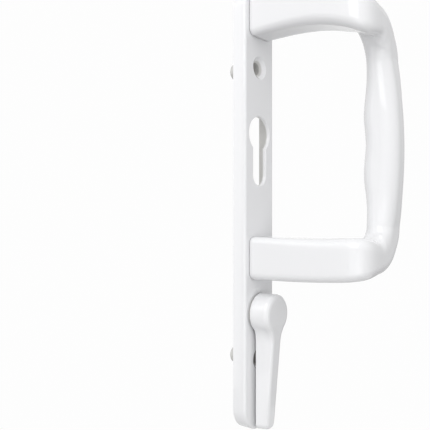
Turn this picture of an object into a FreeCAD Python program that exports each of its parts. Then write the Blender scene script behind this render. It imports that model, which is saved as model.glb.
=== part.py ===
import FreeCAD, Part
import math
import os

# Sliding patio door handle, inside half: a hollow cast backplate with a cranked pull handle
# and a turning lever. Sizes are in millimetres. +Z is up, +X is to the right seen from the
# room and +Y goes into the door. The origin lies on the door face of the plate, half-way
# between its two fixing holes.

# Backplate
plate_width = 25.5
plate_depth = 7.6
plate_beyond_arm = 4.9
plate_below_fixing = 36.2
plate_end_flat = 0.9
plate_edge_radius = 1.5
plate_skin = 2.2
plate_wall = 2.2
rib_thickness = 1.6

# Fixing holes, with the pillars that drop into the door
fixing_spacing = 150.0
fixing_hole_radius = 3.1
countersink_radius = 5.85
countersink_depth = 2.5
pillar_radius = 4.3
pillar_reach = 8.7
pillar_chamfer = 0.5

# Cylinder aperture and lever centre
lever_above_fixing = 23.8
cylinder_to_lever = 92.0
cylinder_radius = 9.0
cylinder_tail_width = 11.0
cylinder_aperture_height = 35.6
aperture_chamfer = 0.4

# Pull handle: two arms run out from the plate, turn sideways and carry the upright grip
lower_arm_above_lever = 28.3
upper_arm_above_fixing = 26.0
arm_width = 18.75
arm_root_tall = 21.8
arm_bend_tall = 20.2
arm_straight = 44.0
arm_arch_power = 3.2
crank_front = 62.4
crank_back = 45.5
crank_inner_radius = 1.2
crank_tall = 16.2
lower_crank_rise = 2.5
upper_crank_drop = 13.6
crank_corner_power = 4.2
turn_inner_radius = 5.5
turn_inner_power = 4.5
lower_turn_power = 2.0
upper_turn_power = 1.88
grip_near = 15.2
grip_far = 34.4
grip_back = 47.3
grip_front = 65.3
grip_bow = 5.8
fullest_below_middle = 2.5
swell_pitch = 27.7
swell_between = 1.0
swell_beyond = 2.0
swell_fade = 21.0
arm_corner_radius = 3.8
crank_corner_radius = 4.8
grip_corner_radius = 8.0
least_flat = 0.4

# Places of the pull handle's cross-sections, as shares of each stretch
arm_stations = (0.0, 0.4, 0.75)
sideways_stations = (0.0, 0.14, 0.28, 0.42, 0.56, 0.7, 0.85, 1.0)
upright_stations = (0.2, 0.4, 0.6, 0.8, 1.0)
grip_stations = 12

# Fastening of the pull handle
root_pad_depth = 3.0
root_screw_radius = 2.5
root_screw_reach = 11.0
thread_clearance = 0.05
screw_hole_clearance = 0.25
screw_head_radius = 4.5
screw_head_depth = 2.6
screw_head_edge = 0.6
screw_tip_clearance = 1.0
screw_tip_chamfer = 0.5
driver_socket_width = 3.0
driver_socket_depth = 1.5
spring_washer_depth = 1.2
spring_washer_radius = 4.4
spring_washer_split = 0.5
peg_radius = 2.0
peg_offset = 7.2
peg_clearance = 0.1
peg_setback = 0.2

# Lever
lever_head_radius = 10.1
lever_head_front = 11.4
lever_head_edge = 2.3
lever_edge_steps = 3
lever_waist_radius = 12.0
lever_reach = 58.8
tail_back = 1.6
tail_back_half = 5.7
tail_front_at_tip = 7.0
tail_front_half_at_head = 3.9
tail_front_half_at_tip = 3.2
tail_edge_radius = 1.3
tail_tip_radius = 3.0
neck_radius = 6.5
neck_setback = 0.6
spindle_width = 7.0
spindle_depth = 12.5

# Lever bearing
bush_clearance = 0.06
bush_wall = 1.5
bush_seat_clearance = 0.05
bush_flange_radius = 9.0
bush_flange_depth = 0.8
lever_play = 0.1
boss_wall = 1.9
boss_length = 4.2
thrust_washer_depth = 0.6
washer_radius = 8.9
disc_spring_depth = 0.3
disc_spring_rise = 0.35
clip_depth = 0.8
clip_groove_depth = 0.9
clip_radius = 8.3
clip_gap = 5.0
clip_lug_radius = 1.7
clip_lug_hole_radius = 0.6
clip_clearance = 0.05
clip_groove_radius = 5.9
ring_clearance = 0.15
ring_room_clearance = 0.4

# Places worked out from the sizes
half_plate = plate_width / 2
half_arm = arm_width / 2
front_y = -plate_depth
upper_fixing_height = fixing_spacing / 2
lower_fixing_height = -fixing_spacing / 2
lever_height = lower_fixing_height + lever_above_fixing
cylinder_height = lever_height + cylinder_to_lever
lower_arm_height = lever_height + lower_arm_above_lever
upper_arm_height = upper_fixing_height + upper_arm_above_fixing
plate_top = upper_arm_height + arm_root_tall / 2 + plate_beyond_arm
plate_bottom = lower_fixing_height - plate_below_fixing
plate_end_radius = (plate_width - plate_end_flat) / 2
lower_crank_height = lower_arm_height + lower_crank_rise
upper_crank_height = upper_arm_height - upper_crank_drop
grip_middle = (lower_crank_height + upper_crank_height) / 2
crank_from_middle = (upper_crank_height - lower_crank_height) / 2
pocket_floor_y = front_y + plate_skin
into_door = FreeCAD.Vector(0, 1, 0)
pick_tolerance = 0.001
full_turn = 360


def point(x, y, z):
    return FreeCAD.Vector(x, y, z)


def outwards(distance):
    """The Y of a place that stands this far out from the front face of the plate."""
    return front_y - distance


def disc(radius, y_low, y_high, z, x=0.0):
    """A round bar along Y."""
    return Part.makeCylinder(radius, y_high - y_low, point(x, y_low, z), into_door)


def block(x_low, x_high, y_low, y_high, z_low, z_high):
    return Part.makeBox(x_high - x_low, y_high - y_low, z_high - z_low, point(x_low, y_low, z_low))


def ring(outer, inner, y_low, y_high, z):
    return disc(outer, y_low, y_high, z).cut(disc(inner, y_low, y_high, z))


def rounded_bar(width, z_low, z_high, radius, y_low, y_high):
    """An upright bar with rounded corners seen from the front."""
    bar = block(-width / 2, width / 2, y_low, y_high, z_low, z_high)
    corners = [e for e in bar.Edges if is_along(e, into_door)]
    return bar.makeFillet(radius, corners)


def is_along(edge, direction):
    if not isinstance(edge.Curve, Part.Line):
        return False
    run = edge.Vertexes[1].Point - edge.Vertexes[0].Point
    return run.cross(direction).Length < pick_tolerance


def edges_at_y(shape, y):
    boxes = [(e, e.BoundBox) for e in shape.Edges]
    return [e for e, box in boxes if max(abs(box.YMin - y), abs(box.YMax - y)) < pick_tolerance]


def aperture(y_low, y_high):
    """The cylinder aperture: a round hole with a narrower tail under it."""
    low = cylinder_height + cylinder_radius - cylinder_aperture_height
    tail_radius = cylinder_tail_width / 2
    tail = block(-tail_radius, tail_radius, y_low, y_high, low + tail_radius, cylinder_height)
    tip = disc(tail_radius, y_low, y_high, low + tail_radius)
    return disc(cylinder_radius, y_low, y_high, cylinder_height).fuse([tail, tip]).removeSplitter()


def fixing_heights():
    return (upper_fixing_height, lower_fixing_height)


def arm_heights():
    return (upper_arm_height, lower_arm_height)


def plate_shell():
    """The cast tray: front skin, side walls and rounded ends."""
    body = rounded_bar(plate_width, plate_bottom, plate_top, plate_end_radius, front_y, 0)
    body = body.makeFillet(plate_edge_radius, edges_at_y(body, front_y))
    pocket = rounded_bar(
        plate_width - 2 * plate_wall,
        plate_bottom + plate_wall,
        plate_top - plate_wall,
        plate_end_radius - plate_wall,
        pocket_floor_y,
        plate_depth,
    )
    return body.cut([pocket, bearing_room()])


def plate_inside():
    """The space between the side walls, from the front skin to the door face."""
    return rounded_bar(
        plate_width - plate_wall,
        plate_bottom + plate_wall / 2,
        plate_top - plate_wall / 2,
        plate_end_radius - plate_wall / 2,
        front_y + plate_skin / 2,
        0,
    )


def rib_heights():
    """One rib crosses the origin, the others stand half-way between what the plate carries."""
    third = plate_below_fixing / 3
    return (
        (upper_arm_height + upper_fixing_height) / 2,
        (upper_fixing_height + cylinder_height + cylinder_radius) / 2,
        0.0,
        (lower_arm_height + lever_height) / 2,
        (lever_height + lower_fixing_height) / 2,
        lower_fixing_height - third,
        lower_fixing_height - 2 * third,
    )


def bearing_room():
    """The space behind the lever boss where its rings turn, cut from what stands around it."""
    return disc(washer_radius + ring_room_clearance, front_y + boss_length, 0, lever_height)


def plate_stiffening():
    """Cross ribs, the pads behind the arm roots and the lever boss."""
    half_rib = rib_thickness / 2
    ribs = [
        block(-half_plate, half_plate, front_y, 0, z - half_rib, z + half_rib).cut(bearing_room())
        for z in rib_heights()
    ]
    pads = [
        block(
            -half_plate,
            half_plate,
            front_y,
            front_y + root_pad_depth,
            z - arm_root_tall / 2,
            z + arm_root_tall / 2,
        )
        for z in arm_heights()
    ]
    boss = disc(bush_radius() + bush_seat_clearance + boss_wall, front_y, front_y + boss_length, lever_height)
    inside = plate_inside()
    return [inside.common(piece) for piece in ribs + pads + [boss]]


def pillar(z):
    bar = disc(pillar_radius, pocket_floor_y - plate_skin / 2, pillar_reach, z)
    return bar.makeChamfer(pillar_chamfer, edges_at_y(bar, pillar_reach))


def fixing_hole(z):
    hole = disc(fixing_hole_radius, front_y, pillar_reach, z)
    cone = Part.makeCone(
        countersink_radius,
        fixing_hole_radius,
        countersink_depth,
        point(0, front_y, z),
        into_door,
    )
    return hole.fuse(cone)


def bush_radius():
    return neck_radius + bush_clearance + bush_wall


def peg_heights(z):
    return (z - peg_offset, z + peg_offset)


def root_holes(z):
    """The screw hole and the two peg holes under one arm."""
    holes = [disc(root_screw_radius + screw_hole_clearance, front_y, 0, z)]
    holes += [disc(peg_radius + peg_clearance, front_y, 0, at) for at in peg_heights(z)]
    return holes


def backplate():
    body = plate_shell().fuse(plate_stiffening() + [pillar(z) for z in fixing_heights()])
    cuts = [aperture(front_y, 0)]
    cuts += [fixing_hole(z) for z in fixing_heights()]
    cuts += [hole for z in arm_heights() for hole in root_holes(z)]
    cuts += [disc(bush_radius() + bush_seat_clearance, front_y, 0, lever_height)]
    body = body.cut(cuts).removeSplitter()
    rim = [e for e in edges_at_y(body, front_y) if is_aperture_edge(e)]
    return body.makeChamfer(aperture_chamfer, rim)


def is_aperture_edge(edge):
    box = edge.BoundBox
    high = cylinder_height + cylinder_radius + pick_tolerance
    low = high - cylinder_aperture_height - 2 * pick_tolerance
    inside_x = max(abs(box.XMin), abs(box.XMax)) < cylinder_radius + pick_tolerance
    return inside_x and box.ZMin > low and box.ZMax < high


def blend(share, start, end):
    """A value between two others that leaves the first and reaches the second smoothly."""
    eased = share * share * (3 - 2 * share)
    return start + (end - start) * eased


def rounded_reach(angle, straight_on, square_on, power):
    """How far a rounded corner lies from its pivot, at an angle between its two sides."""
    first = (math.cos(angle) / straight_on) ** power
    second = (math.sin(angle) / square_on) ** power
    return (first + second) ** (-1 / power)


def section(centre, outer, inner, half_outer, half_inner, corner, lift):
    """A cross-section with four rounded corners; outer and inner are its two directions.
    lift tells how much higher each of its points stands at that distance from the plate."""
    radius = min(corner, half_outer - least_flat, half_inner - least_flat)
    arcs = []
    for side, (along, across) in enumerate(((1, 1), (-1, 1), (-1, -1), (1, -1))):
        points = []
        for half_turns in (0, 0.5, 1):
            angle = (side + half_turns) * math.pi / 2
            first = along * (half_outer - radius) + radius * math.cos(angle)
            second = across * (half_inner - radius) + radius * math.sin(angle)
            flat = centre + outer * first + inner * second
            points.append(flat + point(0, 0, lift(front_y - flat.y)))
        arcs.append(points)
    edges = []
    for here, there in zip(arcs, arcs[1:] + arcs[:1]):
        edges.append(Part.Arc(*here).toShape())
        edges.append(Part.makeLine(here[2], there[0]))
    return Part.Wire(edges)


def arch(rise, distance):
    """How much higher an arm stands at this distance from the plate than at its crank."""
    return rise * (1 - (max(distance, 0) / crank_front) ** arm_arch_power)


def arm_sections(crank_height, rise, up):
    """From the plate straight out to the sideways turn; up is +1 where the grip lies above."""
    sections = []
    for share in arm_stations:
        tall = arm_root_tall + (arm_bend_tall - arm_root_tall) * share
        centre = point(0, outwards(arm_straight * share), crank_height)
        sections.append(
            section(
                centre,
                point(-1, 0, 0),
                point(0, 0, up),
                half_arm,
                tall / 2,
                arm_corner_radius,
                lambda distance: arch(rise, distance),
            )
        )
    return sections


def sideways_sections(crank_height, rise, up):
    """The turn from straight out to sideways, about an upright pivot behind the crank."""
    pivot_x = half_arm + crank_inner_radius
    pivot_out = crank_back - crank_inner_radius
    sections = []
    for share in sideways_stations:
        angle = share * math.pi / 2
        outer = point(-math.cos(angle), -math.sin(angle), 0)
        reach = rounded_reach(
            angle, pivot_x + half_arm, crank_front - pivot_out, crank_corner_power
        )
        middle = (crank_inner_radius + reach) / 2
        tall = arm_bend_tall + (crank_tall - arm_bend_tall) * share ** 2
        centre = point(pivot_x, outwards(pivot_out), crank_height) + outer * middle
        sections.append(
            section(
                centre,
                outer,
                point(0, 0, up),
                (reach - crank_inner_radius) / 2,
                tall / 2,
                blend(share, arm_corner_radius, crank_corner_radius),
                lambda distance: arch(rise, distance),
            )
        )
    return sections


def upright_sections(crank_height, rise, up, corner_power):
    """The turn from sideways to upright, about a level pivot inside the handle's opening."""
    pivot_x = half_arm + crank_inner_radius
    pivot_z = crank_height + up * (crank_tall / 2 + turn_inner_radius)
    end_near, end_far, end_back, end_front = grip_size(pivot_z)
    sections = []
    for share in upright_stations:
        angle = share * math.pi / 2
        inner = point(-math.sin(angle), 0, up * math.cos(angle))
        near = rounded_reach(angle, turn_inner_radius, end_near - pivot_x, turn_inner_power)
        far = rounded_reach(
            angle, crank_tall + turn_inner_radius, end_far - pivot_x, corner_power
        )
        back = blend(share, crank_back, end_back)
        front = blend(share, crank_front, end_front)
        centre = point(pivot_x, outwards((back + front) / 2), pivot_z) - inner * (near + far) / 2
        left = blend(share, rise, 0)
        sections.append(
            section(
                centre,
                point(0, -1, 0),
                inner,
                (front - back) / 2,
                (far - near) / 2,
                blend(share, crank_corner_radius, grip_corner_radius),
                lambda distance: arch(left, distance),
            )
        )
    return sections


def swell(z):
    """How far the back of the grip stands off from its ridges: hollows for the fingers."""
    away = abs(z - grip_middle)
    half_pitch = swell_pitch / 2
    if away < half_pitch:
        return swell_between * (1 + math.cos(math.pi * away / half_pitch)) / 2
    share = min((away - half_pitch) / swell_fade, 1)
    return swell_beyond * (1 - math.cos(math.pi * share)) / 2


def grip_size(z):
    """Near side, far side, back and front of the grip at this height: its front is fullest a
    little below the middle."""
    away = (z - grip_middle + fullest_below_middle) / crank_from_middle
    front = grip_front - grip_bow * away ** 2
    return grip_near, grip_far, grip_back + swell(z), front


def grip_sections(low, high):
    sections = []
    for i in range(1, grip_stations + 1):
        z = low + (high - low) * i / (grip_stations + 1)
        near, far, back, front = grip_size(z)
        centre = point((near + far) / 2, outwards((back + front) / 2), z)
        sections.append(
            section(
                centre,
                point(0, -1, 0),
                point(-1, 0, 0),
                (front - back) / 2,
                (far - near) / 2,
                grip_corner_radius,
                lambda distance: 0,
            )
        )
    return sections


def side_sections(crank_height, arm_height, up, corner_power):
    """One arm and its two turns, from the plate to the start of the grip."""
    rise = arm_height - crank_height
    sections = arm_sections(crank_height, rise, up)
    sections += sideways_sections(crank_height, rise, up)
    return sections + upright_sections(crank_height, rise, up, corner_power)


def handle_sections():
    rise = crank_tall / 2 + turn_inner_radius
    lower = side_sections(lower_crank_height, lower_arm_height, 1, lower_turn_power)
    upper = side_sections(upper_crank_height, upper_arm_height, -1, upper_turn_power)
    grip = grip_sections(lower_crank_height + rise, upper_crank_height - rise)
    return lower + grip + upper[::-1]


def pull_handle():
    body = Part.makeLoft(handle_sections(), True, True)
    pegs = [
        disc(peg_radius, outwards(peg_radius), front_y + root_pad_depth - peg_setback, at)
        for z in arm_heights()
        for at in peg_heights(z)
    ]
    threads = [
        disc(root_screw_radius + thread_clearance, outwards(root_screw_reach), front_y, z)
        for z in arm_heights()
    ]
    return body.fuse(pegs).cut(threads)


def handle_screw(z):
    """A low-headed screw that holds one arm from behind the plate."""
    seat = front_y + root_pad_depth + spring_washer_depth
    back = seat + screw_head_depth
    head = disc(screw_head_radius, seat, back, z)
    head = head.makeChamfer(screw_head_edge, edges_at_y(head, back))
    tip = outwards(root_screw_reach - screw_tip_clearance)
    shank = disc(root_screw_radius, tip, seat, z)
    shank = shank.makeChamfer(screw_tip_chamfer, edges_at_y(shank, tip))
    return head.fuse(shank).cut(hexagon(back - driver_socket_depth, back, z))


def hexagon(y_low, y_high, z):
    """The driver socket, driver_socket_width across its flats."""
    reach = driver_socket_width / 2 / math.cos(math.pi / 6)
    corners = [
        point(reach * math.cos(i * math.pi / 3), y_low, z + reach * math.sin(i * math.pi / 3))
        for i in range(7)
    ]
    return Part.Face(Part.makePolygon(corners)).extrude(into_door * (y_high - y_low))


def spring_washer(z):
    front = front_y + root_pad_depth
    back = front + spring_washer_depth
    washer = ring(spring_washer_radius, root_screw_radius + ring_clearance, front, back, z)
    half_split = spring_washer_split / 2
    return washer.cut(block(-half_split, half_split, front, back, z, z + spring_washer_radius))


def rounded_corner(before, corner, after, radius):
    """Start, middle and end of the arc that rounds a corner between two straight sides."""
    first = (before - corner).normalize()
    second = (after - corner).normalize()
    half = first.getAngle(second) / 2
    towards = (first + second).normalize()
    centre = corner + towards * (radius / math.sin(half))
    run = radius / math.tan(half)
    return corner + first * run, centre - towards * radius, corner + second * run


def flank_half(front_half, front, out):
    """Half the tail's width at this distance out: its flanks lean in towards its front."""
    share = (out - tail_back) / (front - tail_back)
    return tail_back_half + (front_half - tail_back_half) * share


def lever_side(turn, at_back):
    """The right half of the lever's outline, from the head over the waist and the flank to the
    tip, where the front edges have turned in by this angle, or at the flat back."""
    inset = 0 if at_back else 1 - math.cos(turn)
    below = 1 - math.sin(turn)
    head = lever_head_radius - lever_head_edge * inset
    head_out = tail_back if at_back else lever_head_front - lever_head_edge * below
    top_out = tail_back if at_back else lever_head_front - tail_edge_radius * below
    tip_out = tail_back if at_back else tail_front_at_tip - tail_edge_radius * below
    narrower = tail_edge_radius * inset
    top_half = flank_half(tail_front_half_at_head, lever_head_front, top_out) - narrower
    tip_half = flank_half(tail_front_half_at_tip, tail_front_at_tip, tip_out) - narrower
    top = point(top_half, 0, 0)
    flank = (point(tip_half, 0, -lever_reach) - top).normalize()
    normal = point(-flank.z, 0, flank.x)
    aside = normal.dot(top) + lever_waist_radius
    down = math.sqrt((head + lever_waist_radius) ** 2 - aside ** 2)
    pivot = normal * aside + flank * down
    on_head = pivot * (head / (head + lever_waist_radius))
    on_flank = pivot - normal * lever_waist_radius
    waist = pivot + ((on_head + on_flank) / 2 - pivot).normalize() * lever_waist_radius
    reach = lever_reach - narrower
    corner = top + flank * (reach / -flank.z)
    tip_radius = tail_tip_radius - narrower
    rounding = rounded_corner(on_flank, corner, point(0, 0, -reach), tip_radius)
    shoulder = (on_head + point(head, 0, 0)).normalize() * head

    def slope(z):
        return top_out + (tip_out - top_out) * (on_head.z - z) / (on_head.z + lever_reach)

    def placed(spot, out):
        return point(spot.x, outwards(out), lever_height + spot.z)

    waist_out = slope(waist.z) - (top_out - head_out) / 2
    round_head = [placed(spot, head_out) for spot in (point(head, 0, 0), shoulder, on_head)]
    to_tip = [placed(spot, slope(spot.z)) for spot in (on_flank,) + rounding]
    return round_head + [placed(waist, waist_out)] + to_tip, placed(point(0, 0, head), head_out)


def lever_outline(turn, at_back=False):
    """The edges of one outline, anticlockwise from the right of the head."""
    right, crown = lever_side(turn, at_back)
    left = [point(-spot.x, spot.y, spot.z) for spot in right]
    return [
        Part.Arc(right[0], crown, left[0]).toShape(),
        Part.Arc(*left[0:3]).toShape(),
        Part.Arc(*left[2:5]).toShape(),
        Part.makeLine(left[4], left[5]),
        Part.Arc(*left[5:8]).toShape(),
        Part.makeLine(left[7], right[7]),
        Part.Arc(*right[7:4:-1]).toShape(),
        Part.makeLine(right[5], right[4]),
        Part.Arc(*right[4:1:-1]).toShape(),
        Part.Arc(*right[2::-1]).toShape(),
    ]


def lever_body():
    """Head and tail in one: a level front on the head and a sloping one on the tail."""
    turns = [i / lever_edge_steps * math.pi / 2 for i in range(lever_edge_steps + 1)]
    outlines = [lever_outline(0, True)] + [lever_outline(turn) for turn in turns]
    sides = Part.makeLoft([Part.Wire(edges) for edges in outlines], False, True)
    back, front = outlines[0], outlines[-1]
    crease = Part.makeLine(front[1].Vertexes[-1].Point, front[8].Vertexes[-1].Point)
    wires = [back, front[:2] + [crease, front[9]], front[2:9] + [crease]]
    skin = Part.Compound(sides.Faces + [Part.Face(Part.Wire(edges)) for edges in wires])
    skin.sewShape()
    return Part.Solid(skin.Shells[0])


def clip_back():
    """The face of the circlip that looks into the door."""
    rings = thrust_washer_depth + disc_spring_rise + disc_spring_depth
    return front_y + boss_length + rings + clip_depth


def lever():
    head_back = outwards(bush_flange_depth + lever_play)
    head = disc(lever_head_radius, outwards(tail_back), head_back, lever_height)
    neck = disc(neck_radius, outwards(tail_back), -neck_setback, lever_height)
    body = lever_body().fuse([head, neck])
    half = spindle_width / 2
    socket = block(
        -half,
        half,
        -neck_setback - spindle_depth,
        -neck_setback,
        lever_height - half,
        lever_height + half,
    )
    groove_front = clip_back() - clip_depth - clip_clearance
    groove = ring(
        lever_head_radius,
        clip_groove_radius,
        groove_front,
        groove_front + clip_groove_depth,
        lever_height,
    )
    return body.cut([socket, groove])


def lever_bush():
    inner = neck_radius + bush_clearance
    flange = ring(bush_flange_radius, inner, outwards(bush_flange_depth), front_y, lever_height)
    sleeve = ring(bush_radius(), inner, front_y, front_y + boss_length, lever_height)
    return flange.fuse(sleeve)


def thrust_washer():
    front = front_y + boss_length
    inner = neck_radius + ring_clearance
    return ring(washer_radius, inner, front, front + thrust_washer_depth, lever_height)


def disc_spring():
    """A dished ring: its rim bears on the thrust washer and its bore on the circlip."""
    inner = neck_radius + ring_clearance
    front = front_y + boss_length + thrust_washer_depth
    crown = front + disc_spring_rise
    corners = [
        point(washer_radius, front, lever_height),
        point(washer_radius, front + disc_spring_depth, lever_height),
        point(inner, crown + disc_spring_depth, lever_height),
        point(inner, crown, lever_height),
    ]
    profile = Part.Face(Part.makePolygon(corners + corners[:1]))
    return profile.revolve(point(0, 0, lever_height), into_door, full_turn)


def lever_circlip():
    """An open ring with two lugs, each with a hole for the pliers."""
    back = clip_back()
    front = back - clip_depth
    inner = clip_groove_radius + clip_clearance
    body = ring(clip_radius, inner, front, back, lever_height)
    half_gap = clip_gap / 2
    body = body.cut(
        block(-half_gap, half_gap, front, back, lever_height, lever_height + clip_radius)
    )
    lug_height = lever_height + math.sqrt(clip_radius ** 2 - (half_gap + clip_lug_radius) ** 2)
    lugs = [-half_gap - clip_lug_radius, half_gap + clip_lug_radius]
    body = body.fuse([disc(clip_lug_radius, front, back, lug_height, x) for x in lugs])
    body = body.cut([disc(clip_lug_hole_radius, front, back, lug_height, x) for x in lugs])
    return body.cut(disc(inner, front, back, lever_height)).removeSplitter()


def save(name, shape):
    shape.exportStep("parts/" + name + ".step")
    print(name, len(shape.Solids), round(shape.Volume, 1), shape.isValid())


def main():
    os.makedirs("parts", exist_ok=True)
    save("backplate", backplate())
    save("pull_handle", pull_handle())
    upper, lower = arm_heights()
    save("handle_screw_upper", handle_screw(upper))
    save("handle_screw_lower", handle_screw(lower))
    save("spring_washer_upper", spring_washer(upper))
    save("spring_washer_lower", spring_washer(lower))
    save("lever", lever())
    save("lever_bush", lever_bush())
    save("thrust_washer", thrust_washer())
    save("disc_spring", disc_spring())
    save("lever_circlip", lever_circlip())


main()
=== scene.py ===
import math
import bmesh
import bpy
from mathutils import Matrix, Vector

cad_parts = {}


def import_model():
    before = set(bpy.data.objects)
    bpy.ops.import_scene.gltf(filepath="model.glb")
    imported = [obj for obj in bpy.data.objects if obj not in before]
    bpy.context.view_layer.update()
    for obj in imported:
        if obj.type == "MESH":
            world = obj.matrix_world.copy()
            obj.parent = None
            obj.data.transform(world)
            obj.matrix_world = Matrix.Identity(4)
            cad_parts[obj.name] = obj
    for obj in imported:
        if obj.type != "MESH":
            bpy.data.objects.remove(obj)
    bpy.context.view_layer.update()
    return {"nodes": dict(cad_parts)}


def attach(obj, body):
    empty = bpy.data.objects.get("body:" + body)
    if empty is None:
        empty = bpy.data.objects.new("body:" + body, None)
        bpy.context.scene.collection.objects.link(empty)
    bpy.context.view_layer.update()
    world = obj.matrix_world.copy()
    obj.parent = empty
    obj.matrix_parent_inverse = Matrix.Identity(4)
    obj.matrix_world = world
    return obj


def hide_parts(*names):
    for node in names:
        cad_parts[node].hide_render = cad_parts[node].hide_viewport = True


PHOTO_WIDTH = 430

# The photo's camera, in the frame of the part: metres and degrees, where a tilt of 90 is level.
CAMERA_PLACE = (-0.2380, -0.1702, -0.00096)
CAMERA_TILT, CAMERA_TURN = 90.0, -51.06
CAMERA_FOCAL_PIXELS = 555.58
SENSOR_WIDTH = 36.0
CLIP_NEAR, CLIP_FAR = 0.01, 20.0

# The room: where its light comes from, how near to that way it starts and is full, and its strength.
LIGHT_WAY, LIGHT_SPAN = (-0.64, -0.56, 0.53), (-0.9, 0.9)
BEHIND_WAY, BEHIND_SPAN = (0.60, 0.75, 0.27), (0.1, 1.0)
BACKDROP_WAY = (math.sin(math.radians(-CAMERA_TURN)), math.cos(math.radians(CAMERA_TURN)), 0)
BACKDROP_SPAN = (0.93, 0.998)
ROOM_LOW, ROOM_HIGH, ROOM_BEHIND = 0.33, 0.86, 0.34
ROOM_COLOUR, BACKDROP_COLOUR = (1, 1, 1, 1), (0.985, 0.985, 0.985, 1)

# The lamps: name, place, what they point at, width and height in metres, and power in watts.
SOFTBOXES = (
    ("left_box", (-0.60, -0.20, 0.55), (0, -0.03, 0.05), 0.60, 0.75, 2.2),
    ("low_box", (-0.75, -0.32, -0.30), (0, -0.03, 0.0), 0.8, 0.6, 0.75),
    ("front_fill", (-0.58, -0.70, -0.30), (0, -0.03, 0.05), 0.7, 0.5, 0.55),
    ("back_strip", (-0.70, 0.58, 0.22), (0, 0, 0.02), 0.14, 1.3, 0.55),
)

# The floor: a disc, in metres, and how much of it the eye sees as plain white.
FLOOR_HEIGHT, FLOOR_RADIUS, FLOOR_SEGMENTS = -0.45, 0.8, 96
FLOOR_COLOUR, FLOOR_WHITE_SHARE = (0.42, 0.42, 0.42, 1), 0.8

# The pull handle, in millimetres of the part's frame: "out" is measured from the plate's front.
MM = 0.001
PLATE_FRONT = -7.6
HALF_ARM = 9.375
ARM_ROOT_TALL, ARM_BEND_TALL = 21.8, 20.2
ARM_STRAIGHT = 44.0
ARCH_POWER = 3.2
LOWER_ARM, LOWER_CRANK = -22.9, -20.4
UPPER_ARM, UPPER_CRANK = 101.0, 87.4
CRANK_FRONT, CRANK_BACK = 62.4, 45.5
CRANK_INNER = 1.2
CRANK_TALL = 16.2
CRANK_POWER = 4.2
TURN_INNER, TURN_INNER_POWER = 5.5, 4.5
LOWER_TURN_POWER, UPPER_TURN_POWER = 2.0, 1.88
GRIP_NEAR, GRIP_FAR, GRIP_BACK, GRIP_FRONT = 15.2, 34.39, 47.3, 65.29
GRIP_BOW, FULLEST_BELOW_MIDDLE = 5.8, 2.5
SWELL_PITCH, SWELL_BETWEEN, SWELL_BEYOND, SWELL_FADE = 27.7, 1.0, 2.0, 21.0

# Radii of its edges; the hand corners are on the side that the palm touches.
ROOT_EDGE = 0.3
ARM_CORNER, CRANK_CORNER, GRIP_CORNER, GRIP_HAND_CORNER = 3.8, 4.8, 8.0, 7.0
HAND_CORNER_AT_ROOT, HAND_CORNER_AT_BEND, HAND_CORNER_AT_TURN = 3.2, 4.6, 7.0
SMALLEST_FLAT = 0.1

# The filling of the hollow between crank and grip: none at the back, all of it at the front.
WEB_RADIUS, WEB_BACK, WEB_FRONT, WEB_DEPTH = 8.0, 44.0, 63.0, 12.0

# How finely the mesh divides the handle.
CORNER_POINTS, SIDE_POINTS = 12, 8
RING_POINTS = 4 * (CORNER_POINTS + SIDE_POINTS)
ARM_STATIONS = (0.0, ROOT_EDGE, 2.0, 8.0, 16.0, 24.0, 32.0, 38.0, 42.0)
SIDEWAYS_STEPS, UPRIGHT_STEPS, GRIP_STEPS = 28, 24, 64

# The powder coat: its orange peel and finer grain, with their scale per metre and depth in metres.
WHITE = (0.858, 0.860, 0.873, 1)
PEEL, PEEL_SCALE, PEEL_DETAIL, PEEL_DEPTH = 0.07, 900.0, 2.0, 0.00002
GRAIN, GRAIN_SCALE, GRAIN_DETAIL, GRAIN_DEPTH = 0.04, 5200.0, 3.0, 0.000004
PEEL_SPAN, ROUGHNESS_SPAN = (0.3, 0.7), (0.07, 0.11)
GLOSS_LEVEL, CLEAR_WEIGHT, CLEAR_ROUGHNESS = 0.5, 0.5, 0.03

# Painted shade in the narrow gaps: their greatest width in metres, and how open a spot is, from fully
# shaded to untouched.
FIXED_GAP, LEVER_GAP = 0.0011, 0.0026
GAP_SPAN, GAP_SAMPLES = (0.02, 0.42), 8
GAP_SHADE_COLOUR = (0.12, 0.12, 0.13, 1)

# The painted shade inside the hollow plate: its colour, and where the inside lies, in metres.
INSIDE_SHADE_COLOUR = (0.63, 0.625, 0.61, 1)
PLATE_MIDDLE_HEIGHT, PLATE_STRAIGHT_HALF = 0.0028, 0.10125
INSIDE_EDGE_SPAN, INSIDE_DEPTH_SPAN = (0.0120, 0.0122), (-0.0062, -0.0057)

# The steels: colour, scale of their marks per metre, and roughness.
ZINC, ZINC_MARKS, ZINC_ROUGHNESS = (0.62, 0.63, 0.65, 1), 900.0, (0.22, 0.4)
SPRING, SPRING_MARKS, SPRING_ROUGHNESS = (0.22, 0.22, 0.23, 1), 1500.0, (0.35, 0.55)
MARKS_DETAIL, MARKS_STRENGTH, MARKS_DEPTH = 5.0, 0.15, 0.00002

# The nylon: its two tones, the scale of their clouds per metre, and how light sinks in, in metres.
NYLON_DARK, NYLON_LIGHT = (0.74, 0.72, 0.64, 1), (0.82, 0.80, 0.73, 1)
NYLON_CLOUDS, NYLON_DETAIL, NYLON_ROUGHNESS = 300.0, 2.0, 0.45
NYLON_SINK, NYLON_SINK_DEPTH = 0.05, (0.001, 0.001, 0.001)


def fill(tree, node, inputs):
    """Fills the inputs of a node, each with a value or with another node's output."""
    for socket, given in inputs.items():
        if isinstance(given, bpy.types.NodeSocket):
            tree.links.new(given, node.inputs[socket])
        else:
            node.inputs[socket].default_value = given


def add(tree, kind, inputs, **settings):
    """A new node with its settings made and its inputs filled."""
    node = tree.nodes.new(kind)
    for name, setting in settings.items():
        setattr(node, name, setting)
    fill(tree, node, inputs)
    return node


def calculate(tree, operation, *numbers):
    return add(tree, "ShaderNodeMath", dict(enumerate(numbers)), operation=operation).outputs["Value"]


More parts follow.
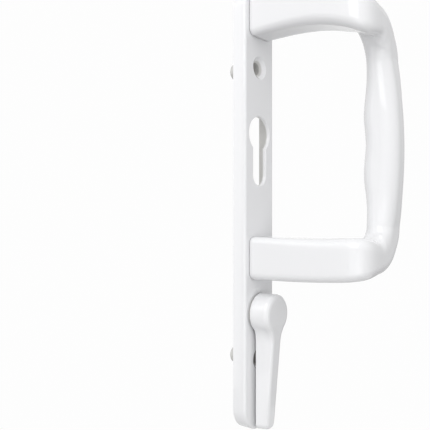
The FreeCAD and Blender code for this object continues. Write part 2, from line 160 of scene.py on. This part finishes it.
def ramp(tree, source, span, to, steps="LINEAR"):
    """Carries a value from one span over to another, each given as (low, high)."""
    ends = {"Value": source, "From Min": span[0], "From Max": span[1], "To Min": to[0], "To Max": to[1]}
    return add(tree, "ShaderNodeMapRange", ends, interpolation_type=steps).outputs["Result"]


def noise(tree, scale, detail):
    place = add(tree, "ShaderNodeTexCoord", {}).outputs["Object"]
    inputs = {"Scale": scale, "Detail": detail, "Vector": place}
    return add(tree, "ShaderNodeTexNoise", inputs).outputs["Fac"]


def new_group(name, inputs, outputs):
    """A node group with the given (name, kind, default) inputs and (name, kind) outputs."""
    group = bpy.data.node_groups.new(name, "ShaderNodeTree")
    for label, kind, default in inputs:
        socket = group.interface.new_socket(label, in_out="INPUT", socket_type=kind)
        socket.default_value = default
    for label, kind in outputs:
        group.interface.new_socket(label, in_out="OUTPUT", socket_type=kind)
    return group, group.nodes.new("NodeGroupInput"), group.nodes.new("NodeGroupOutput")


def coating_group():
    """Glossy coat: a faint orange-peel wave and grain, and painted shade that darkens the narrow gaps."""
    tree, given, result = new_group(
        "powder_coat_and_gap_shade",
        [
            ("Gap Width", "NodeSocketFloat", FIXED_GAP),
            ("Base", "NodeSocketColor", WHITE),
            ("Peel", "NodeSocketFloat", PEEL),
            ("Grain", "NodeSocketFloat", GRAIN),
        ],
        [("Color", "NodeSocketColor"), ("Roughness", "NodeSocketFloat"), ("Normal", "NodeSocketVector")],
    )
    given = given.outputs
    peel = noise(tree, PEEL_SCALE, PEEL_DETAIL)
    grain = noise(tree, GRAIN_SCALE, GRAIN_DETAIL)
    wave = {"Strength": given["Peel"], "Distance": PEEL_DEPTH, "Height": peel}
    waved = add(tree, "ShaderNodeBump", wave).outputs["Normal"]
    fine = {"Strength": given["Grain"], "Distance": GRAIN_DEPTH, "Height": grain, "Normal": waved}
    # Painted shade: the colour darkens where ambient occlusion finds a narrow gap.
    gap_inputs = {"Distance": given["Gap Width"]}
    open_share = add(tree, "ShaderNodeAmbientOcclusion", gap_inputs, samples=GAP_SAMPLES).outputs["AO"]
    gap_shade = ramp(tree, open_share, GAP_SPAN, (1, 0))
    tones = {"Factor": gap_shade, "A": given["Base"], "B": GAP_SHADE_COLOUR}
    fill(tree, result, {
        "Color": add(tree, "ShaderNodeMix", tones, data_type="RGBA").outputs["Result"],
        "Roughness": ramp(tree, peel, PEEL_SPAN, ROUGHNESS_SPAN),
        "Normal": add(tree, "ShaderNodeBump", fine).outputs["Normal"],
    })
    return tree


def steel_group():
    """Faint drawn marks and an uneven sheen, for plated and phosphated steel."""
    tree, given, result = new_group(
        "steel_sheen",
        [
            ("Marks", "NodeSocketFloat", ZINC_MARKS),
            ("Smoothest", "NodeSocketFloat", ZINC_ROUGHNESS[0]),
            ("Roughest", "NodeSocketFloat", ZINC_ROUGHNESS[1]),
        ],
        [("Roughness", "NodeSocketFloat"), ("Normal", "NodeSocketVector")],
    )
    given = given.outputs
    marks = noise(tree, given["Marks"], MARKS_DETAIL)
    relief = {"Strength": MARKS_STRENGTH, "Distance": MARKS_DEPTH, "Height": marks}
    fill(tree, result, {
        "Roughness": ramp(tree, marks, (0, 1), (given["Smoothest"], given["Roughest"])),
        "Normal": add(tree, "ShaderNodeBump", relief).outputs["Normal"],
    })
    return tree


def material(name):
    made = bpy.data.materials.new(name)
    made.use_nodes = True
    return made, made.node_tree, made.node_tree.nodes["Principled BSDF"]


def plate_colour(tree):
    """White, with painted shade that greys it inside the hollow plate and on its pillars."""
    place = add(tree, "ShaderNodeTexCoord", {}).outputs["Object"]
    parts = add(tree, "ShaderNodeSeparateXYZ", {"Vector": place}).outputs
    above = calculate(tree, "SUBTRACT", parts["Z"], PLATE_MIDDLE_HEIGHT)
    beyond = calculate(tree, "SUBTRACT", calculate(tree, "ABSOLUTE", above), PLATE_STRAIGHT_HALF)
    from_axis = {"X": parts["X"], "Z": calculate(tree, "MAXIMUM", beyond, 0)}
    from_axis = add(tree, "ShaderNodeCombineXYZ", from_axis).outputs["Vector"]
    away = add(tree, "ShaderNodeVectorMath", {0: from_axis}, operation="LENGTH").outputs["Value"]
    within = ramp(tree, away, INSIDE_EDGE_SPAN, (1, 0))
    behind = ramp(tree, parts["Y"], INSIDE_DEPTH_SPAN, (0, 1))
    tones = {"Factor": calculate(tree, "MULTIPLY", within, behind), "A": WHITE, "B": INSIDE_SHADE_COLOUR}
    return add(tree, "ShaderNodeMix", tones, data_type="RGBA").outputs["Result"]


def coating(name, group, gap, shaded_inside=False):
    """Powder coat on a casting, with painted shade darkening gaps up to the given width."""
    made, tree, shader = material(name)
    # Painted shade: the plate's colour greys inside its hollow.
    base = plate_colour(tree) if shaded_inside else WHITE
    inputs = {"Gap Width": gap, "Base": base, "Peel": PEEL, "Grain": GRAIN}
    coat = add(tree, "ShaderNodeGroup", inputs, node_tree=group).outputs
    fill(tree, shader, {
        "Base Color": coat["Color"],
        "Roughness": coat["Roughness"],
        "Normal": coat["Normal"],
        "Specular IOR Level": GLOSS_LEVEL,
        "Coat Weight": CLEAR_WEIGHT,
        "Coat Roughness": CLEAR_ROUGHNESS,
    })
    return made


def steel(name, group, colour, marks, roughness):
    made, tree, shader = material(name)
    inputs = {"Marks": marks, "Smoothest": roughness[0], "Roughest": roughness[1]}
    sheen = add(tree, "ShaderNodeGroup", inputs, node_tree=group).outputs
    fill(tree, shader, {
        "Base Color": colour,
        "Metallic": 1.0,
        "Roughness": sheen["Roughness"],
        "Normal": sheen["Normal"],
    })
    return made


def nylon():
    """Natural nylon, faintly clouded."""
    made, tree, shader = material("nylon")
    cloud = noise(tree, NYLON_CLOUDS, NYLON_DETAIL)
    tones = {"Factor": cloud, "A": NYLON_DARK, "B": NYLON_LIGHT}
    fill(tree, shader, {
        "Base Color": add(tree, "ShaderNodeMix", tones, data_type="RGBA").outputs["Result"],
        "Roughness": NYLON_ROUGHNESS,
        "Subsurface Weight": NYLON_SINK,
        "Subsurface Radius": NYLON_SINK_DEPTH,
    })
    return made


def dress(finish, *nodes):
    """Gives these nodes of the frame their finish."""
    for node in nodes:
        piece = frame["nodes"][node]
        piece.data.materials.clear()
        piece.data.materials.append(finish)


def eased(share, start, end):
    """Goes from start to end as the share goes from 0 to 1, slowly at both ends."""
    return start + (end - start) * share * share * (3 - 2 * share)


def rounded_reach(angle, straight_on, square_on, power):
    """How far a rounded corner lies from its pivot, at an angle between its two sides."""
    first = (math.cos(angle) / straight_on) ** power
    second = (math.sin(angle) / square_on) ** power
    return (first + second) ** (-1 / power)


def arch(rise, out):
    """How much higher an arm stands at this distance from the plate than at its crank."""
    return rise * (1 - (max(out, 0) / CRANK_FRONT) ** ARCH_POWER)


def swell(z):
    """How far the back of the grip stands off from its ridges: hollows for the fingers."""
    away = abs(z - (LOWER_CRANK + UPPER_CRANK) / 2)
    half_pitch = SWELL_PITCH / 2
    if away < half_pitch:
        return SWELL_BETWEEN * (1 + math.cos(math.pi * away / half_pitch)) / 2
    share = min((away - half_pitch) / SWELL_FADE, 1)
    return SWELL_BEYOND * (1 - math.cos(math.pi * share)) / 2


def grip_size(z):
    """The near, far, back and front sides of the grip at this height."""
    from_fullest = z - (LOWER_CRANK + UPPER_CRANK) / 2 + FULLEST_BELOW_MIDDLE
    away = 2 * from_fullest / (UPPER_CRANK - LOWER_CRANK)
    return GRIP_NEAR, GRIP_FAR, GRIP_BACK + swell(z), GRIP_FRONT - GRIP_BOW * away ** 2


def between(start, end):
    """The points of a straight side, without its ends."""
    shares = [i / SIDE_POINTS for i in range(1, SIDE_POINTS)]
    return [(start[0] + (end[0] - start[0]) * t, start[1] + (end[1] - start[1]) * t) for t in shares]


def section(half_outer, half_inner, corner, hand_corner):
    """Points around a rectangle with rounded corners: as many on every corner and on every side."""
    most = 2 * min(half_outer, half_inner) - SMALLEST_FLAT
    other = min(corner, most / 2)
    hand = min(hand_corner, most - other)
    corners = ((1, 1, hand), (-1, 1, other), (-1, -1, other), (1, -1, other))
    points = []
    for number, (outer_sign, inner_sign, radius) in enumerate(corners):
        middle = outer_sign * (half_outer - radius), inner_sign * (half_inner - radius)
        start = number * math.pi / 2
        arc = []
        for i in range(CORNER_POINTS + 1):
            turn = start + math.pi / 2 * i / CORNER_POINTS
            arc.append((middle[0] + radius * math.cos(turn), middle[1] + radius * math.sin(turn)))
        if points:
            points += between(points[-1], arc[0])
        points += arc
    return points + between(points[-1], points[0])


def web_shift(spot, crank, up):
    """How far the hollow between crank and grip is filled here: most at the front."""
    beside = GRIP_NEAR - spot.x
    beyond = up * (spot.z - crank) - CRANK_TALL / 2
    depth = math.hypot(min(beside, 0), min(beyond, 0))
    first = min(WEB_RADIUS - beside, WEB_RADIUS)
    second = min(WEB_RADIUS - beyond, WEB_RADIUS)
    if first < 0 or second < 0 or first ** 2 + second ** 2 < WEB_RADIUS ** 2:
        return Vector((0, 0, 0))
    fill_depth = (first + second - math.sqrt(2 * WEB_RADIUS ** 2 - (first - second) ** 2)) / 2
    frontness = eased(min(max((spot.y - WEB_BACK) / (WEB_FRONT - WEB_BACK), 0), 1), 0, 1)
    fill_depth *= frontness * eased(max(1 - depth / WEB_DEPTH, 0), 0, 1)
    return Vector((-fill_depth, 0, up * fill_depth))


def ring(centre, outer, inner, half_outer, half_inner, corner, hand_corner, rise):
    """One cross-section, lifted by the arch; centre is (x, out, z).

    The corner between its outer and its inner side, which the palm touches, has its own radius.
    """
    points = []
    for first, second in section(half_outer, half_inner, corner, hand_corner):
        spot = centre + outer * first + inner * second
        for crank, up in ((LOWER_CRANK, 1), (UPPER_CRANK, -1)):
            spot += web_shift(spot, crank, up)
        points.append(Vector((spot.x, PLATE_FRONT - spot.y, spot.z + arch(rise, spot.y))))
    return points


def arm_rings(crank, rise, up):
    """Straight out from the plate, slightly smaller at the very root."""
    side, level = Vector((-1, 0, 0)), Vector((0, 0, up))
    rings = []
    for out in ARM_STATIONS:
        share = out / ARM_STRAIGHT
        tall = ARM_ROOT_TALL + (ARM_BEND_TALL - ARM_ROOT_TALL) * share
        inset = ROOT_EDGE if out == 0 else 0
        centre = Vector((0, out, crank))
        hand = eased(share, HAND_CORNER_AT_ROOT, HAND_CORNER_AT_BEND)
        rings.append(ring(centre, side, level, HALF_ARM - inset, tall / 2 - inset, ARM_CORNER, hand, rise))
    return rings


def sideways_rings(crank, rise, up):
    """The bend from the arm into the crank."""
    pivot_x, pivot_out = HALF_ARM + CRANK_INNER, CRANK_BACK - CRANK_INNER
    level = Vector((0, 0, up))
    rings = []
    for i in range(SIDEWAYS_STEPS + 1):
        share = i / SIDEWAYS_STEPS
        angle = share * math.pi / 2
        outer = Vector((-math.cos(angle), math.sin(angle), 0))
        reach = rounded_reach(angle, pivot_x + HALF_ARM, CRANK_FRONT - pivot_out, CRANK_POWER)
        tall = ARM_BEND_TALL + (CRANK_TALL - ARM_BEND_TALL) * share ** 2
        centre = Vector((pivot_x, pivot_out, crank)) + outer * (CRANK_INNER + reach) / 2
        corner = eased(share, ARM_CORNER, CRANK_CORNER)
        hand = eased(share, HAND_CORNER_AT_BEND, HAND_CORNER_AT_TURN)
        rings.append(ring(centre, outer, level, (reach - CRANK_INNER) / 2, tall / 2, corner, hand, rise))
    return rings


def upright_rings(crank, rise, up, power):
    """The turn from the crank into the grip."""
    pivot_x = HALF_ARM + CRANK_INNER
    pivot_z = crank + up * (CRANK_TALL / 2 + TURN_INNER)
    end_near, end_far, end_back, end_front = grip_size(pivot_z)
    forward = Vector((0, 1, 0))
    rings = []
    for i in range(1, UPRIGHT_STEPS + 1):
        share = i / UPRIGHT_STEPS
        angle = share * math.pi / 2
        inner = Vector((-math.sin(angle), 0, up * math.cos(angle)))
        near = rounded_reach(angle, TURN_INNER, end_near - pivot_x, TURN_INNER_POWER)
        far = rounded_reach(angle, CRANK_TALL + TURN_INNER, end_far - pivot_x, power)
        back = eased(share, CRANK_BACK, end_back)
        front = eased(share, CRANK_FRONT, end_front)
        centre = Vector((pivot_x, (back + front) / 2, pivot_z)) - inner * (near + far) / 2
        corner = eased(share, CRANK_CORNER, GRIP_CORNER)
        hand = eased(share, HAND_CORNER_AT_TURN, GRIP_HAND_CORNER)
        left = eased(share, rise, 0)
        rings.append(ring(centre, forward, inner, (front - back) / 2, (far - near) / 2, corner, hand, left))
    return rings


def grip_rings(low, high):
    """The grip between the two turns."""
    forward, side = Vector((0, 1, 0)), Vector((-1, 0, 0))
    rings = []
    for i in range(1, GRIP_STEPS):
        z = low + (high - low) * i / GRIP_STEPS
        near, far, back, front = grip_size(z)
        centre = Vector(((near + far) / 2, (back + front) / 2, z))
        halves = (front - back) / 2, (far - near) / 2
        rings.append(ring(centre, forward, side, *halves, GRIP_CORNER, GRIP_HAND_CORNER, 0))
    return rings


def pull_handle():
    """Both arms with their cranks, and the grip between them, as one closed skin."""
    halves = []
    sides = (
        (LOWER_ARM, LOWER_CRANK, 1, LOWER_TURN_POWER),
        (UPPER_ARM, UPPER_CRANK, -1, UPPER_TURN_POWER),
    )
    for arm, crank, up, power in sides:
        rise = arm - crank
        rings = arm_rings(crank, rise, up) + sideways_rings(crank, rise, up)
        halves.append(rings + upright_rings(crank, rise, up, power))
    turn = CRANK_TALL / 2 + TURN_INNER
    rings = halves[0] + grip_rings(LOWER_CRANK + turn, UPPER_CRANK - turn) + halves[1][::-1]
    points = [point * MM for each in rings for point in each]
    faces = [tuple(range(RING_POINTS)), tuple(range(len(points) - RING_POINTS, len(points)))[::-1]]
    for row in range(len(rings) - 1):
        for i in range(RING_POINTS):
            here, there = row * RING_POINTS, (row + 1) * RING_POINTS
            after = (i + 1) % RING_POINTS
            faces.append((here + i, there + i, there + after, here + after))
    return mesh_piece("pull_handle_form", points, faces)


def mesh_piece(name, points, faces):
    """A piece from points and faces, smooth apart from the flat faces at its ends."""
    made = bpy.data.meshes.new(name)
    made.from_pydata(points, [], faces)
    work = bmesh.new()
    work.from_mesh(made)
    bmesh.ops.recalc_face_normals(work, faces=work.faces)
    work.to_mesh(made)
    work.free()
    made.polygons.foreach_set("use_smooth", [len(face.vertices) == 4 for face in made.polygons])
    piece = bpy.data.objects.new(name, made)
    bpy.context.collection.objects.link(piece)
    return piece


def camera():
    data = bpy.data.cameras.new("photo_camera")
    data.sensor_width = SENSOR_WIDTH
    data.lens = SENSOR_WIDTH * CAMERA_FOCAL_PIXELS / PHOTO_WIDTH
    data.clip_start, data.clip_end = CLIP_NEAR, CLIP_FAR
    eye = bpy.data.objects.new("photo_camera", data)
    eye.location = CAMERA_PLACE
    eye.rotation_euler = (math.radians(CAMERA_TILT), 0, math.radians(CAMERA_TURN))
    bpy.context.collection.objects.link(eye)
    bpy.context.scene.camera = eye


def softbox(name, place, towards, width, height, power):
    data = bpy.data.lights.new(name, "AREA")
    data.shape = "RECTANGLE"
    data.size, data.size_y = width, height
    data.energy = power
    lamp = bpy.data.objects.new(name, data)
    lamp.location = place
    aim = Vector(towards) - Vector(place)
    lamp.rotation_euler = aim.to_track_quat("-Z", "Y").to_euler()
    bpy.context.collection.objects.link(lamp)


def floor_paper():
    """Grey paper that looks nearly white to the eye and in reflections, and keeps some shadow."""
    made = bpy.data.materials.new("floor_paper")
    made.use_nodes = True
    tree = made.node_tree
    tree.nodes.clear()
    path = add(tree, "ShaderNodeLightPath", {}).outputs
    seen = calculate(tree, "MAXIMUM", path["Is Camera Ray"], path["Is Transmission Ray"])
    seen = calculate(tree, "MAXIMUM", seen, path["Is Glossy Ray"])
    share = calculate(tree, "MULTIPLY", seen, FLOOR_WHITE_SHARE)
    paper = add(tree, "ShaderNodeBsdfDiffuse", {"Color": FLOOR_COLOUR}).outputs["BSDF"]
    white = add(tree, "ShaderNodeEmission", {}).outputs["Emission"]
    surface = add(tree, "ShaderNodeMixShader", {"Fac": share, 1: paper, 2: white}).outputs["Shader"]
    add(tree, "ShaderNodeOutputMaterial", {"Surface": surface})
    return made


def studio_floor():
    """A pale round floor under the part."""
    made = bpy.data.meshes.new("studio_floor")
    work = bmesh.new()
    bmesh.ops.create_circle(work, cap_ends=True, segments=FLOOR_SEGMENTS, radius=FLOOR_RADIUS)
    work.to_mesh(made)
    work.free()
    made.materials.append(floor_paper())
    disc = bpy.data.objects.new("studio_floor", made)
    disc.location = (0, 0, FLOOR_HEIGHT)
    bpy.context.collection.objects.link(disc)


def toward(tree, way, span, to):
    """A value that follows how near a ray points to this way."""
    place = add(tree, "ShaderNodeTexCoord", {}).outputs["Generated"]
    nearness = add(tree, "ShaderNodeVectorMath", {0: place, 1: way}, operation="DOT_PRODUCT")
    return ramp(tree, nearness.outputs["Value"], span, to, steps="SMOOTHSTEP")


def world():
    """A dim room, brighter to the left, above and behind, with a white backdrop for the eye."""
    made = bpy.data.worlds.new("studio")
    bpy.context.scene.world = made
    made.use_nodes = True
    tree = made.node_tree
    tree.nodes.clear()
    path = add(tree, "ShaderNodeLightPath", {}).outputs
    backdrop = toward(tree, BACKDROP_WAY, BACKDROP_SPAN, (0, 1))
    glossy = calculate(tree, "MULTIPLY", path["Is Glossy Ray"], backdrop)
    clear = calculate(tree, "MAXIMUM", path["Is Camera Ray"], path["Is Transmission Ray"])
    from_left = toward(tree, LIGHT_WAY, LIGHT_SPAN, (ROOM_LOW, ROOM_HIGH))
    from_behind = toward(tree, BEHIND_WAY, BEHIND_SPAN, (0, ROOM_BEHIND))
    light = {"Color": ROOM_COLOUR, "Strength": calculate(tree, "ADD", from_left, from_behind)}
    room = add(tree, "ShaderNodeBackground", light).outputs["Background"]
    white = add(tree, "ShaderNodeBackground", {"Color": BACKDROP_COLOUR}).outputs["Background"]
    share = calculate(tree, "MAXIMUM", clear, glossy)
    surface = add(tree, "ShaderNodeMixShader", {"Fac": share, 1: room, 2: white}).outputs["Shader"]
    add(tree, "ShaderNodeOutputWorld", {"Surface": surface})


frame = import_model()

coat = coating_group()
dress(coating("coat_backplate", coat, FIXED_GAP, shaded_inside=True), "backplate")
dress(coating("coat_lever", coat, LEVER_GAP), "lever")
handle = pull_handle()
handle.data.materials.append(coating("coat_pull_handle", coat, FIXED_GAP))
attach(handle, "frame")
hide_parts("pull_handle")

sheen = steel_group()
zinc = steel("zinc_plate", sheen, ZINC, ZINC_MARKS, ZINC_ROUGHNESS)
spring = steel("spring_steel", sheen, SPRING, SPRING_MARKS, SPRING_ROUGHNESS)
dress(zinc, "handle_screw_upper", "handle_screw_lower")
dress(spring, "spring_washer_upper", "spring_washer_lower", "disc_spring", "lever_circlip")
dress(nylon(), "lever_bush", "thrust_washer")

camera()
world()
for box in SOFTBOXES:
    softbox(*box)
studio_floor()

bpy.context.scene.view_settings.view_transform = "Standard"
